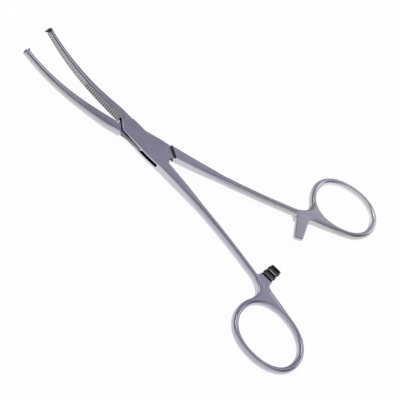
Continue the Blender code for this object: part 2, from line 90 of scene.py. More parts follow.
class Flow:
    """A value in a node tree. Arithmetic on it adds Math nodes, and node() adds any other node."""

    def __init__(self, tree, socket=None):
        self.tree = tree
        self.socket = socket

    def node(self, kind, settings=(), inputs=(), output=0):
        """A node of that kind, with its settings made first and its sockets then given values or links."""
        made = self.tree.nodes.new(kind)
        for name, value in dict(settings).items():
            setattr(made, name, value)
        for name, value in dict(inputs).items():
            if isinstance(value, Flow):
                self.tree.links.new(value.socket, made.inputs[name])
            else:
                made.inputs[name].default_value = value
        return Flow(self.tree, made.outputs[output] if made.outputs else None)

    def maths(self, operation, *values):
        return self.node("ShaderNodeMath", {"operation": operation}, enumerate(values))

    def __add__(self, other):
        return self.maths("ADD", self, other)

    def __radd__(self, other):
        return self.maths("ADD", other, self)

    def __sub__(self, other):
        return self.maths("SUBTRACT", self, other)

    def __rsub__(self, other):
        return self.maths("SUBTRACT", other, self)

    def __mul__(self, other):
        return self.maths("MULTIPLY", self, other)

    def __rmul__(self, other):
        return self.maths("MULTIPLY", other, self)

    def smooth(self, low, high):
        """0 below low, 1 above high, and a smooth step between them."""
        return self.node("ShaderNodeMapRange", {"interpolation_type": "SMOOTHSTEP"},
                         {"Value": self, "From Min": low, "From Max": high})

    def towards(self, direction):
        """The cosine of the angle between this unit vector and a direction."""
        unit = Vector(direction).normalized()
        return self.node("ShaderNodeVectorMath", {"operation": "DOT_PRODUCT"}, {0: self, 1: unit}, "Value")

    def mix(self, low, high):
        """The colour `low` where this value is 0 and `high` where it is 1."""
        return self.node("ShaderNodeMix", {"data_type": "RGBA"}, {0: self, 6: low, 7: high}, 2)


def tree_of(owner):
    """The emptied node tree of a material or world, as a Flow to build it with."""
    owner.use_nodes = True
    owner.node_tree.nodes.clear()
    return Flow(owner.node_tree)


SHEET = (0.985, 0.985, 0.995, 1.0)
STRAIGHT_DOWN = (1.55, 1.55, 1.50, 1.0)
WALL_FRONT = (0.97, 0.97, 0.95, 1.0)
EYE_FRONT = (0.70, 0.70, 0.71, 1.0)
OVERHEAD = (0.165, 0.16, 0.19, 1.0)
BEHIND = (0.345, 0.335, 0.415, 1.0)
LOW_BEHIND = (0.20, 0.20, 0.23, 1.0)
BAND = (0.95, 0.94, 1.02, 1.0)
CEILING = (0.50, 0.495, 0.53, 1.0)

# Below the horizon the room is white straight down, bright on a wall low in front, dimmer at eye level, and
# dark low behind. Above it the ceiling is dark with one pale patch, the far side is a lilac grey, and a
# bright band crosses that on the right. Each pair of numbers is where one of these zones starts and is
# full, along one axis of a unit vector that points into the room.
world = bpy.data.worlds.new("studio")
bpy.context.scene.world = world
flow = tree_of(world)
heading = flow.node("ShaderNodeTexCoord", output="Generated")
sideways, ahead, rise = (
    flow.node("ShaderNodeSeparateXYZ", inputs={0: heading}, output=axis) for axis in "XYZ")
front = rise.smooth(-0.99, -0.82).mix(STRAIGHT_DOWN, WALL_FRONT)
front = rise.smooth(-0.8, 0.1).mix(front, EYE_FRONT)
below = (ahead.smooth(0.15, 0.8) * rise.smooth(-0.9, -0.5)).mix(front, LOW_BEHIND)
above = ahead.smooth(-0.85, -0.35).mix(EYE_FRONT, OVERHEAD)
above = heading.towards((0.22, 0.15, 0.96)).smooth(0.94, 0.995).mix(above, CEILING)
above = ahead.smooth(0.32, 0.52).mix(above, BEHIND)
band = rise.smooth(0.86, 0.66) * sideways.smooth(-0.05, 0.1) * ahead.smooth(0.85, 0.68)
above = (band * ahead.smooth(0.2, 0.5)).mix(above, BAND)
room = rise.smooth(-0.2, 0.1).mix(below, above)
seen = flow.node("ShaderNodeLightPath", output="Is Camera Ray").mix(room, SHEET)
light = flow.node("ShaderNodeBackground", inputs={"Color": seen})
flow.node("ShaderNodeOutputWorld", inputs={"Surface": light})

floor_mesh = bpy.data.meshes.new("floor")
reach, base = 2.0, cad_box[0][2]
floor_corners = [(x * reach, y * reach, base) for x, y in ((-1, -1), (1, -1), (1, 1), (-1, 1))]
floor_mesh.from_pydata(floor_corners, [], [(0, 1, 2, 3)])
floor = bpy.data.objects.new("floor", floor_mesh)
bpy.context.scene.collection.objects.link(floor)
floor.visible_glossy = False
paper = bpy.data.materials.new("white_sheet")
flow = tree_of(paper)
glow = flow.node("ShaderNodeEmission", inputs={"Color": SHEET, "Strength": 0.94})
matt = flow.node("ShaderNodeBsdfDiffuse", inputs={"Color": (0.15, 0.15, 0.15, 1.0)})
both = flow.node("ShaderNodeAddShader", inputs={0: glow, 1: matt})
flow.node("ShaderNodeOutputMaterial", inputs={"Surface": both})
floor.data.materials.append(paper)

# One wide softbox, high on the left, lays soft highlights along the tops of the round bars.
lamp = bpy.data.lights.new("side_softbox", "AREA")
lamp.size = 0.6
lamp.energy = 1.8
lamp.color = (1.0, 0.98, 1.0)
softbox = bpy.data.objects.new("side_softbox", lamp)
softbox.location = AIM + Vector((-0.52, 0.07, 0.84)) * 1.2
softbox.rotation_euler = (AIM - softbox.location).to_track_quat("-Z", "Y").to_euler()
bpy.context.scene.collection.objects.link(softbox)

# ---- Mortise half: jaw ----
# Each half is one forging in stainless steel, ground to its outline and satin finished. The jaw is a
# D-shaped bar that tapers and curves up to the tip, with cross serrations milled over its flat bite face.

CLOUD_SCALE = 170.0
GRAIN_SCALE = 6000.0
GRAIN_STRETCH = 0.12
WORN_VALUE = 0.88
WORN_SHARES = (0.6, 0.4)
WORN_STEP = (0.3, 0.7)
GLOSS_SPREAD = (0.12, 0.10)
BUMP_HEIGHT = 0.00002
# Where the painted lilac and pale reflections start and where they are full, in metres along X or Y.
LILAC_REFLECTION_X = (-0.032, -0.010)
LILAC_REFLECTION_Y = (0.014, 0.003)
PALE_REFLECTION_Y = (0.025, 0.040)


def steel(name, tint, roughness, grain, lilac_reflection=None, pale_reflection=None):
    """Stainless steel: fine noise stretched along X is the ground grain and its bump, and slow noise changes
    the tint and the gloss. Two more tints are painted reflections of the room, set by place: a painted lilac
    reflection from the lock back along the shank that lies nearer, and a painted pale reflection over the
    far side of the ring that lies farther."""
    material = bpy.data.materials.new(name)
    flow = tree_of(material)
    spot = flow.node("ShaderNodeTexCoord", output="Object")
    cloud = flow.node("ShaderNodeTexNoise", inputs={"Vector": spot, "Scale": CLOUD_SCALE, "Detail": 4.0})
    stretched = flow.node("ShaderNodeMapping", inputs={"Vector": spot, "Scale": (GRAIN_STRETCH, 1.0, 1.0)})
    scratch = flow.node("ShaderNodeTexNoise",
                        inputs={"Vector": stretched, "Scale": GRAIN_SCALE, "Detail": 3.0})
    # Painted reflections: lilac on the near side from the lock back, pale over the rings' far side.
    if lilac_reflection:
        x, y = (flow.node("ShaderNodeSeparateXYZ", inputs={0: spot}, output=axis) for axis in "XY")
        tint = (x.smooth(*LILAC_REFLECTION_X) * y.smooth(*LILAC_REFLECTION_Y)).mix(tint, lilac_reflection)
        tint = y.smooth(*PALE_REFLECTION_Y).mix(tint, pale_reflection)
    worn = flow.node("ShaderNodeHueSaturation", inputs={"Color": tint, "Value": WORN_VALUE})
    wear = cloud * WORN_SHARES[0] + scratch * WORN_SHARES[1]
    colour = wear.smooth(*WORN_STEP).mix(worn, tint)
    gloss = (cloud - 0.5) * GLOSS_SPREAD[0] + (scratch - 0.5) * GLOSS_SPREAD[1] + roughness
    bump = flow.node("ShaderNodeBump", inputs={"Height": scratch, "Strength": grain, "Distance": BUMP_HEIGHT})
    shader = flow.node("ShaderNodeBsdfPrincipled",
                       inputs={"Base Color": colour, "Metallic": 1.0, "Roughness": gloss, "Normal": bump})
    flow.node("ShaderNodeOutputMaterial", inputs={"Surface": shader})
    return material


# The satin steel carries the painted lilac and pale reflections.
satin = steel("satin_steel", (0.62, 0.612, 0.652, 1.0), 0.24, 0.12,
              lilac_reflection=(0.615, 0.602, 0.69, 1.0), pale_reflection=(0.92, 0.91, 0.945, 1.0))
serrated = steel("serrated_steel", (0.43, 0.425, 0.45, 1.0), 0.34, 0.5)
# Dark steel that paints the shade in the serration grooves, on the single tip tooth and in the tenon jaw's
# notch.
groove_shade = steel("groove_shade_steel", (0.17, 0.167, 0.18, 1.0), 0.38, 0.5)


def paint(data, finish, where=None):
    """Gives a finish to the faces that where() picks by their centres, in millimetres, and normals."""
    data.materials.append(finish)
    faces = len(data.polygons)
    centre, normal = np.empty(faces * 3, np.float32), np.empty(faces * 3, np.float32)
    data.polygons.foreach_get("center", centre)
    data.polygons.foreach_get("normal", normal)
    picked = where(centre.reshape(-1, 3) / MM, normal.reshape(-1, 3)) if where else np.ones(faces, bool)
    index = np.zeros(faces, np.int32)
    data.polygons.foreach_get("material_index", index)
    index[picked] = len(data.materials) - 1
    data.polygons.foreach_set("material_index", index)
    return data


LOCK_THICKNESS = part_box("lock_pin")[1].z / MM
MIDDLE = LOCK_THICKNESS / 2
FRONT_SHOULDER = 11.3
TOE_IN = np.radians(0.42)
JAW_LENGTH = 54.8
JAW_RISE = 10.2
JAW_CURVE = 2.7
JAW_ROOT = (4.0, 4.79)
JAW_TIP = (1.9, 2.9)
JAW_TAPER = 1.3
JAW_BOW = 0.45
BITE_SHARE = 0.88
ROOT_POWER = 6.5
LOCK_BACK = 3.4
INSIDE_LOCK = 3.7
LOCK_BLEND = 4.5
# How far from the lock the serrations' groove faces take the painted shade.
GROOVE_SHADE_END = -31.0
ROUNDING_LENGTH = 18.0
ROUNDING_CURVE = 0.4
SHUT_GAP = 0.1
SERRATION_PITCH = 1.0
SERRATION_DEPTH = 0.28
SERRATION_START = 11.5
CREST_SHARE = 0.16
GROOVE_STATIONS = (0.29, 0.5, 0.71)
TIP_LAND = 1.4
TIP_NOSE = 0.4
NOSE_SHRINK = 0.25
FULL_DEPTH_SHARE = 0.88
BACK_POINTS = 41
TOWARDS_BITE = -0.35
TOWARDS_RING = 0.3


def lerp(a, b, t):
    """The value a share t of the way from a to b."""
    return a + (b - a) * t


def surface(points, closed_u=False, closed_v=True, caps=True):
    """A grid of points, rows along u and columns along v, as vertices and quads, with flat end caps."""
    rows, columns = points.shape[:2]
    index = np.arange(rows * columns).reshape(rows, columns)
    if closed_u:
        index = np.vstack([index, index[:1]])
    if closed_v:
        index = np.hstack([index, index[:, :1]])
    quads = np.stack([index[:-1, :-1], index[:-1, 1:], index[1:, 1:], index[1:, :-1]], -1).reshape(-1, 4)
    faces = quads.tolist()
    if caps:
        faces += [index[0, :columns].tolist()[::-1], index[-1, :columns].tolist()]
    return points.reshape(-1, 3), faces


def solid(*shells):
    """One closed mesh, in metres, of shells in millimetres, with its doubles merged and faces outwards."""
    vertices = np.concatenate([points for points, _ in shells]) * MM
    faces, start = [], 0
    for points, shell in shells:
        faces += [[i + start for i in face] for face in shell]
        start += len(points)
    data = bpy.data.meshes.new("solid")
    data.from_pydata(vertices.tolist(), [], faces)
    mesh = bmesh.new()
    mesh.from_mesh(data)
    bmesh.ops.remove_doubles(mesh, verts=mesh.verts, dist=1e-6)
    bmesh.ops.recalc_face_normals(mesh, faces=mesh.faces)
    if mesh.calc_volume(signed=True) < 0:
        bmesh.ops.reverse_faces(mesh, faces=mesh.faces)
    mesh.to_mesh(data)
    mesh.free()
    return data


def jaw_line(x):
    """Share of the way to the tip, centre height and slope of the jaw's rising centreline."""
    share = np.maximum((x - FRONT_SHOULDER) / (JAW_LENGTH - FRONT_SHOULDER), 0.0)
    steep = JAW_RISE * JAW_CURVE * share ** (JAW_CURVE - 1) / (JAW_LENGTH - FRONT_SHOULDER)
    return share, MIDDLE + JAW_RISE * share ** JAW_CURVE, np.arctan(steep)


def bite_face(x):
    """Distance of the serration crests from the meeting plane: the jaws bow apart between lock and tip."""
    share = np.clip((x - SERRATION_START) / (JAW_LENGTH - SERRATION_START), 0.0, 1.0)
    return SHUT_GAP / 2 + JAW_BOW / 2 * 4 * share * (1 - share)


def toed_in(x, y, z):
    """Points of the shut jaw turned about the pivot to its place on its own half."""
    c, s = np.cos(TOE_IN), np.sin(TOE_IN)
    return np.stack(np.broadcast_arrays(x * c - y * s, x * s + y * c, z), -1)


def serration(x, phase):
    """Depth below the crests: flat-topped ridges with V grooves between them, one a pitch."""
    along = ((x - SERRATION_START) / SERRATION_PITCH + phase / 2) % 1.0
    cut = 1 - np.abs(along - 0.5) / (0.5 - CREST_SHARE / 2)
    inside = (x > SERRATION_START) & (x < JAW_LENGTH - TIP_LAND - SERRATION_PITCH / 3)
    return np.where(inside, np.maximum(cut, 0.0) * SERRATION_DEPTH, 0.0)


def jaw(phase, back_power):
    """The jaw: along u its stations, along v once round the D: up the bite face, then a superellipse back.
    Its width and height taper towards the tip, and the back's power falls from a square root to a rounder
    bar. The stations are closest over the serrations, five to a pitch."""
    crest = CREST_SHARE / 2
    offsets = np.array([-crest, crest, *GROOVE_STATIONS])
    pitches = int((JAW_LENGTH - TIP_LAND - SERRATION_START) / SERRATION_PITCH) + 2
    steps = np.arange(-1, pitches)[:, None] - phase / 2 + offsets
    ridges = (SERRATION_START + steps * SERRATION_PITCH).ravel()
    land = JAW_LENGTH - TIP_LAND
    ridges = ridges[(ridges > SERRATION_START - SERRATION_PITCH) & (ridges < land - 0.05)]
    nose = JAW_LENGTH - TIP_NOSE * (1 - np.sin(np.linspace(0, np.pi / 2, 6)))
    root = np.linspace(FRONT_SHOULDER - INSIDE_LOCK, ridges[0] - 0.1, 12)
    x = np.concatenate([root, ridges, [land, land + 0.3], nose])
    share, height, slope = jaw_line(x)
    shrink = 1 - NOSE_SHRINK * np.clip((x - JAW_LENGTH + TIP_NOSE) / TIP_NOSE, 0, 1) ** 3
    inside = np.clip((FRONT_SHOULDER + LOCK_BLEND - x) / (INSIDE_LOCK + LOCK_BLEND), 0, 1)
    width = lerp(JAW_TIP[0], JAW_ROOT[0], (1 - share) ** JAW_TAPER) * shrink
    width = lerp(width, LOCK_BACK, inside * inside * (3 - 2 * inside))
    half = lerp(JAW_ROOT[1], JAW_TIP[1], share) / 2 * shrink
    rounding = np.clip((x - FRONT_SHOULDER + INSIDE_LOCK) / ROUNDING_LENGTH, 0, 1) ** ROUNDING_CURVE
    power = lerp(ROOT_POWER, back_power, rounding)
    face = bite_face(x)
    depth = serration(x, phase)
    edge = SERRATION_DEPTH + width * (1 - BITE_SHARE) / 2
    turn = np.linspace(np.pi / 2, -np.pi / 2, BACK_POINTS)
    out = np.abs(np.cos(turn)) ** (2 / power[:, None])
    high = np.abs(np.sin(turn)) ** (2 / power[:, None]) * np.sign(turn)
    back_y = face[:, None] + lerp(edge[:, None], width[:, None], out)
    bite_z = np.array([-1, -FULL_DEPTH_SHARE, 0, FULL_DEPTH_SHARE, 1]) * BITE_SHARE * half[:, None]
    bite_y = face[:, None] + depth[:, None] * np.array([0, 1, 1, 1, 0])
    y = np.hstack([bite_y, back_y])
    z = np.hstack([bite_z, high * half[:, None]])
    lean, height = slope[:, None], height[:, None]
    bar = toed_in(-x[:, None] + z * np.sin(lean), y, height + z * np.cos(lean))
    data = paint(solid(surface(bar)), satin)
    data = paint(data, serrated, lambda centre, normal: (
        (normal[:, 1] < TOWARDS_BITE) & (centre[:, 0] < -FRONT_SHOULDER)))
    # Painted shade: the serrations' groove faces nearer the lock get the dark steel.
    return paint(data, groove_shade, lambda centre, normal: (
        (normal[:, 1] < TOWARDS_BITE) & (normal[:, 0] > TOWARDS_RING)
        & (centre[:, 0] < -FRONT_SHOULDER) & (centre[:, 0] > GROOVE_SHADE_END)))


half = jaw(phase=0, back_power=2.1)

# ---- Mortise half: handle and ring ----
# The shank runs on from the lock as part of the same forging. It is ground oval and spreads flat into the
# neck before the finger ring, an egg-shaped loop whose rim is ground round and polished.

OVERRUN = 2.0
REAR_SHOULDER = 15.3
SHANK_DROP = (2.17, 9.1)
SHANK_END = 68.0
SHANK_BOW = 0.9
SHANK_WIDTH = (4.2, 2.7)
SHANK_TAPER = 2.2
SHANK_HEIGHT = (4.79, 4.4)
SHANK_ROOT_POWER = 9.0
SHANK_ROUNDING = (2.6, 0.8)
SECTION_POWER = 2.3
RING_SECTION = 2.0
RING_CENTRE = np.array([88.7, -24.4])
RING_TILT = np.radians(2.4)
RING_HOLE = (26.8, 20.0)
RING_POWER = 2.17
RING_EGG = 0.048
RING_BAND = 2.55
RING_HEIGHT = 4.4
EDGE_ROUND = 1.4
CROTCH_REACH = 5.8
INNER_JOIN, SPREAD_TURN, OUTER_JOIN = 75.0, 127.5, 157.5
SPREAD_SPLIT = 0.45
NECK_PULL = np.array([-1.0, 0.7])
SHANK_STATIONS = 56
NECK_STATIONS = 57
JOIN_STATIONS = 29
RING_STATIONS = 118
DOME_STEPS = 18


def bezier(points, t):
    """Points at t on the cubic curve through the first and last of four points."""
    a, b, c, d = (np.asarray(p, float) for p in points)
    t = np.asarray(t, float)[:, None]
    return a * (1 - t) ** 3 + b * 3 * t * (1 - t) ** 2 + c * 3 * t * t * (1 - t) + d * t ** 3


def shank_share(x):
    """The share of the shank's length that lies before x."""
    return (x - REAR_SHOULDER) / (SHANK_END - REAR_SHOULDER)


def shank_centre(x):
    """Distance of the shank's centreline from the centre plane: a straight run less a shallow bow."""
    t = shank_share(x)
    return lerp(*SHANK_DROP, t) - SHANK_BOW * 4 * t * (1 - t)


def shank_width(x):
    """The shank's width in plan, which falls fastest near the lock."""
    return lerp(SHANK_WIDTH[1], SHANK_WIDTH[0], (1 - shank_share(x)) ** SHANK_TAPER)


def ring_point(turn, out):
    """Points round the ring at `turn` degrees, `out` beyond the hole's edge: a tilted, egg-shaped
    superellipse that is a little squarer than an oval."""
    c, s = np.cos(np.radians(turn)), np.sin(np.radians(turn))
    radius = (np.abs(c) ** RING_POWER + np.abs(s) ** RING_POWER) ** (-1 / RING_POWER)
    along = (RING_HOLE[0] / 2 + out) * radius * c
    aside = (RING_HOLE[1] / 2 + out) * radius * s * (1 - RING_EGG * c)
    c, s = np.cos(RING_TILT), np.sin(RING_TILT)
    return RING_CENTRE + np.stack([along * c + aside * s, aside * c - along * s], -1)


def ring_heading(turn):
    """Unit vector along the ring's outer edge, in the direction of falling turn."""
    way = ring_point(turn - 0.5, RING_BAND) - ring_point(turn + 0.5, RING_BAND)
    return way / np.linalg.norm(way)


def dome(edge, middle, half, power, closed):
    """A band that rises from its edge to its middle line, above and below, as a superellipse whose power
    grows with the band's width: a narrow band is oval, and a wide one is flat with rounded edges."""
    span = np.linalg.norm(edge - middle, axis=1)
    power = power * np.maximum(1.0, span / EDGE_ROUND)
    turn = np.linspace(-np.pi / 2, np.pi / 2, 2 * DOME_STEPS + 1)
    inwards = 1 - np.abs(np.cos(turn)) ** (2 / power[:, None])
    inwards[:, [0, -1]] = 1.0
    rise = half[:, None] * np.abs(np.sin(turn)) ** (2 / power[:, None]) * np.sign(turn)
    plan = edge[:, None] + (middle - edge)[:, None] * inwards[..., None]
    points = np.concatenate([plan, (MIDDLE + rise)[..., None]], -1)
    return surface(points, closed_u=closed, closed_v=False, caps=False)


def neck_curves():
    """The shank's direction at its end, and the control points of the two cubic curves that run on from
    there to the ring: the neck's middle line and its inner edge."""
    step = 0.001
    heading = (shank_centre(SHANK_END) - shank_centre(SHANK_END - step)) / step
    forward = np.array([1.0, -heading])
    start, end = np.array([SHANK_END, -SHANK_DROP[1]]), ring_point(SPREAD_TURN, RING_BAND / 2)
    reach = (end[0] - SHANK_END) / 3
    middle = [start, start + forward * reach, end + reach * NECK_PULL, end]
    start = start + np.array([0.0, SHANK_WIDTH[1] / 2])
    end, way = ring_point(INNER_JOIN, RING_BAND), ring_heading(INNER_JOIN)
    reach = (end[0] - SHANK_END) / 3
    return forward, middle, [start, start + forward * reach, end - way * reach, end]


def handle():
    """Shank, neck and ring as one domed planform: the outer edge once round, and the ring's hole."""
    forward, neck_middle, inner = neck_curves()
    shank_end, spread_end = neck_middle[0], neck_middle[-1]
    aside = np.array([0.0, SHANK_WIDTH[1] / 2])

    x = np.linspace(REAR_SHOULDER - 2 * OVERRUN, SHANK_END, SHANK_STATIONS)[:-1]
    shank_middle = np.stack([x, -shank_centre(x)], -1)
    shank_side = np.stack([0 * x, shank_width(x) / 2], -1)
    shank_half = lerp(*SHANK_HEIGHT, shank_share(x)) / 2
    rounding = np.clip(SHANK_ROUNDING[0] * shank_share(x), 0, 1) ** SHANK_ROUNDING[1]
    shank_power = lerp(SHANK_ROOT_POWER, SECTION_POWER, rounding)
    shank_power = shank_power / np.maximum(1.0, shank_width(x) / 2 / EDGE_ROUND)

    spread = np.linspace(0, 1, NECK_STATIONS)[:-1]
    spread_middle = bezier(neck_middle, spread)
    joining = np.linspace(0, 1, JOIN_STATIONS)[:-1]
    round_ring = np.linspace(INNER_JOIN, OUTER_JOIN - 360, RING_STATIONS)[:-1]
    first, way = ring_point(OUTER_JOIN, RING_BAND), ring_heading(OUTER_JOIN)
    outer_end = shank_end - aside
    crotch = [first, first + way * CROTCH_REACH, outer_end + forward * CROTCH_REACH, outer_end]

    edge = np.concatenate([
        shank_middle + shank_side,
        bezier(inner, spread * SPREAD_SPLIT),
        bezier(inner, lerp(SPREAD_SPLIT, 1.0, joining)),
        ring_point(round_ring, RING_BAND),
        bezier(crotch, joining / 2),
        bezier(crotch, 0.5 + spread / 2),
        [outer_end],
        (shank_middle - shank_side)[::-1],
    ])
    middle = np.concatenate([
        shank_middle,
        spread_middle,
        ring_point(lerp(SPREAD_TURN, INNER_JOIN, joining), RING_BAND / 2),
        ring_point(round_ring, RING_BAND / 2),
        ring_point(lerp(OUTER_JOIN, SPREAD_TURN, joining), RING_BAND / 2),
        [spread_end], spread_middle[:0:-1],
        [shank_end],
        shank_middle[::-1],
    ])
    rest = len(edge) - 2 * len(x)
    half = np.concatenate([shank_half, np.full(rest, RING_HEIGHT / 2), shank_half[::-1]])
    into = (1 - np.cos(np.pi * spread)) / 2
    ring_power = np.full(rest, RING_SECTION)
    ring_power[:len(spread)] = lerp(SECTION_POWER, RING_SECTION, into)
    ring_power[-len(spread) - 1:] = lerp(SECTION_POWER, RING_SECTION, np.append(into[::-1], 0.0))
    power = np.concatenate([shank_power, ring_power, shank_power[::-1]])
    outer = dome(edge, middle, half, power, False)
    size = 2 * DOME_STEPS + 1
    outer[1].append(list(range(size)) + list(range(len(outer[0]) - 2, len(outer[0]) - size, -1)))

    turns = np.concatenate([
        lerp(SPREAD_TURN, INNER_JOIN, joining), round_ring, lerp(OUTER_JOIN, SPREAD_TURN, joining)])
    hole = dome(ring_point(turns, 0.0), ring_point(turns, RING_BAND / 2),
                np.full(len(turns), RING_HEIGHT / 2), np.full(len(turns), RING_SECTION), True)
    return paint(solid(outer, hole), satin)


grip = handle()

# ---- Mortise half: ratchet arm ----
# The arm is forged in one piece with the neck and reaches to the centre plane. Its upper half is milled down
# to a comb of catches with steep faces, over which the other half's arm locks step by step.

RATCHET_X = 77.1
RATCHET_WIDTH = 5.8
RATCHET_LEAN = 0.07
ARM_LENGTH = 10.0
RATCHET_REACH = 0.7
RATCHET_PITCH = 2.6
RATCHET_TEETH = 3
RATCHET_DEPTH = 0.7
RATCHET_LEAD = 0.7
RATCHET_GAP = 0.12
RATCHET_FLARE = (0.6, 1.9)
FLARE_PULL = 0.7
ARM_POWER = 6.0
NOTCH = (0.5, 0.55)
NOTCH_RADIUS = 0.15
RATCHET_CORNER = 0.7
CORNER_PULL = 0.55
TOOTH_MARGIN = 0.35
TOOTH_END = 0.9
TOOTH_CHAMFER = 0.2
SUNK = 0.01
# Dark steel that paints the shade on the ratchet comb: its teeth and the floor between them.
ratchet_shade_steel = steel("ratchet_shade_steel", (0.11, 0.108, 0.115, 1.0), 0.34, 0.5)


def neck_line(x):
    """The neck's inner edge and middle line at distances x from the pivot, in plan."""
    t = np.linspace(0, 1, 400)
    middle, edge = (bezier(points, t) for points in neck_curves()[1:])
    return (np.stack([x, np.interp(x, edge[:, 0], edge[:, 1])], -1),
            np.stack([x, np.interp(x, middle[:, 0], middle[:, 1])], -1))


def joined(data, operation, *others):
    """The mesh with others joined to it (UNION) or cut from it (DIFFERENCE), one after another."""
    for other in others:
        holders = [bpy.data.objects.new("working", part) for part in (data, other)]
        for holder in holders:
            bpy.context.scene.collection.objects.link(holder)
        modifier = holders[0].modifiers.new("join", "BOOLEAN")
        modifier.operation = operation
        modifier.solver = "EXACT"
        modifier.material_mode = "TRANSFER"
        modifier.object = holders[1]
        depsgraph = bpy.context.evaluated_depsgraph_get()
        data = bpy.data.meshes.new_from_object(holders[0].evaluated_get(depsgraph))
        for holder in holders:
            bpy.data.objects.remove(holder)
    return data


def slab(corners, radii, low, high, edges=(0.0, 0.0)):
    """A plate over a plan outline with each corner rounded by its own radius: along v once round, along u
    from the lower to the upper face over two rounded edges, where the outline shrinks."""
    corners, radii = np.array(corners, float), np.maximum(np.array(radii, float), max(edges) + 0.001)
    run = np.roll(corners, -1, 0) - corners
    run /= np.linalg.norm(run, axis=1)[:, None]
    after = np.stack([run[:, 1], -run[:, 0]], -1)
    before = np.roll(after, 1, 0)
    bend = before[:, 0] * after[:, 1] - before[:, 1] * after[:, 0]
    sign = np.where(bend >= 0, 1.0, -1.0)
    centre = corners - (sign * radii / (1 + (before * after).sum(1)))[:, None] * (before + after)
    turned = np.arcsin(np.clip(bend, -1, 1))[:, None] * np.linspace(0, 1, 9)
    c, s = np.cos(turned)[..., None], np.sin(turned)[..., None]
    way = before[:, None] * c + np.stack([-before[:, 1], before[:, 0]], -1)[:, None] * s
    lift = np.linspace(0, np.pi / 2, 7 if max(edges) else 1)
    inset, height = 1 - np.sin(lift), 1 - np.cos(lift)
    inset = np.concatenate([inset * edges[0], inset[::-1] * edges[1]])
    height = np.concatenate([low + height * edges[0], high - height[::-1] * edges[1]])
    radius = (sign * radii)[None, :, None, None] - inset[:, None, None, None]
    plan = (centre[None, :, None] + radius * way[None]).reshape(len(inset), -1, 2)
    height = np.broadcast_to(height[:, None, None], (*plan.shape[:2], 1))
    return solid(surface(np.concatenate([plan, height], -1)))


